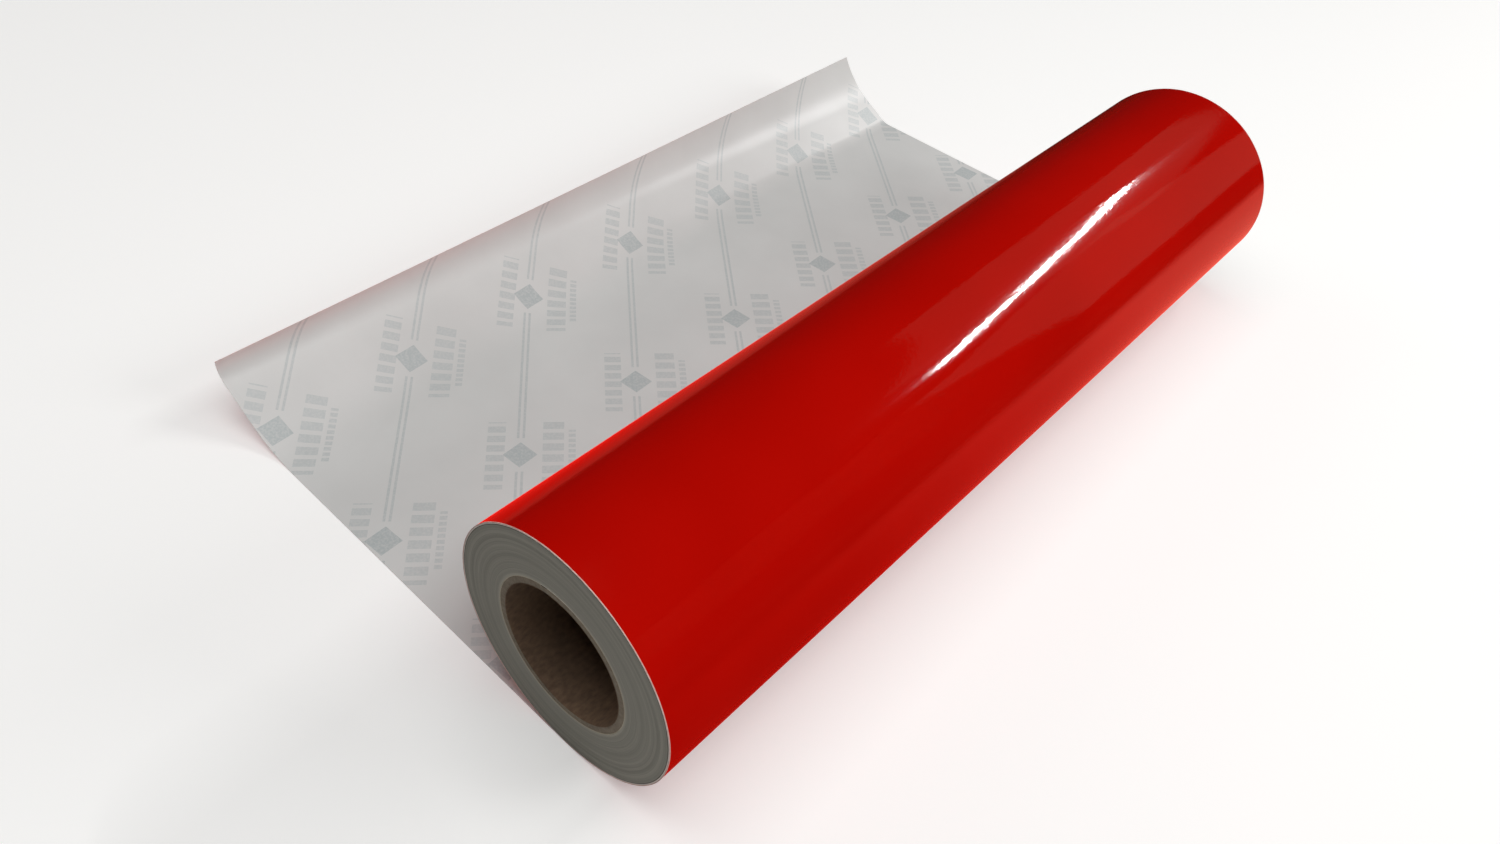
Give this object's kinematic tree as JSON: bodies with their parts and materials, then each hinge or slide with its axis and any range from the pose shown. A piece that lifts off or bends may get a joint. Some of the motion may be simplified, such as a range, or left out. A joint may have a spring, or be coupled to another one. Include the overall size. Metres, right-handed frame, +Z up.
{
  "type": "roll of sign vinyl",
  "caption": "Roll of glossy self-adhesive film on its release liner, wound face out on a paper core, with a free end that lies flat, liner up, and curls up at the cut edge.",
  "frame": {"origin": "centre of the paper core's bore, halfway along the roll", "axes": "+Y along the core's bore, +Z up, -X the way the free end runs along the floor from the bottom of the roll"},
  "size_m": [0.3789, 0.61, 0.14],
  "materials": {
    "vinyl_film": "glossy red PVC film",
    "adhesive_coat": "clear tacky coat",
    "release_liner": "satin coated paper with a faint grey-blue back print",
    "wound_web": "slit edges of many turns, satin",
    "kraft_ply": "smooth kraft paper",
    "core_board": "cut grey-brown board",
    "starter_tape": "white double-sided tape"
  },
  "bodies": {
    "last_turn": {"outer_turn_film": "vinyl_film", "outer_turn_adhesive": "adhesive_coat", "outer_turn_liner": "release_liner"},
    "spool": {"core_inner_ply": "kraft_ply", "core_board": "core_board", "core_outer_ply": "kraft_ply", "core_tape": "starter_tape", "wound_pack": "wound_web"},
    "tail_flat": {"tail_flat_film": "vinyl_film", "tail_flat_adhesive": "adhesive_coat", "tail_flat_liner": "release_liner"},
    "tail_ramp": {"tail_ramp_film": "vinyl_film", "tail_ramp_adhesive": "adhesive_coat", "tail_ramp_liner": "release_liner"},
    "lip_lower": {"lip_lower_film": "vinyl_film", "lip_lower_adhesive": "adhesive_coat", "lip_lower_liner": "release_liner"},
    "lip_upper": {"lip_upper_film": "vinyl_film", "lip_upper_adhesive": "adhesive_coat", "lip_upper_liner": "release_liner"},
    "lip_edge": {"lip_edge_film": "vinyl_film", "lip_edge_adhesive": "adhesive_coat", "lip_edge_liner": "release_liner"}
  },
  "joints": [
    {"name": "spool_turn", "type": "hinge", "parent": "last_turn", "child": "spool", "pos_m": [0, 0, 0], "axis": [0, 1, 0], "range_deg": [0, 360]},
    {"name": "unwind", "type": "slide", "parent": "last_turn", "child": "tail_flat", "axis": [-1, 0, 0], "range_m": [0, 0.4391]},
    {"name": "tail_curl", "type": "hinge", "parent": "tail_flat", "child": "tail_ramp", "pos_m": [-0.25465, 0, -0.06923], "axis": [0, 1, 0], "range_deg": [-22, 10], "stiffness_Nm_per_rad": 0.5},
    {"name": "lip_curl_1", "type": "hinge", "parent": "tail_ramp", "child": "lip_lower", "pos_m": [-0.2943, 0, -0.05327], "axis": [0, 1, 0], "range_deg": [-22, 10]},
    {"name": "lip_curl_2", "type": "hinge", "parent": "lip_lower", "child": "lip_upper", "pos_m": [-0.30305, 0, -0.04482], "axis": [0, 1, 0], "range_deg": [-22, 10]},
    {"name": "lip_curl_3", "type": "hinge", "parent": "lip_upper", "child": "lip_edge", "pos_m": [-0.30799, 0, -0.03371], "axis": [0, 1, 0], "range_deg": [-22, 10]}
  ],
  "couplings": [
    {"joint": "unwind", "follows": "spool_turn", "m_per_rad": 0.06987},
    {"joint": "lip_curl_1", "follows": "tail_curl", "ratio": 1},
    {"joint": "lip_curl_2", "follows": "tail_curl", "ratio": 1},
    {"joint": "lip_curl_3", "follows": "tail_curl", "ratio": 1}
  ]
}
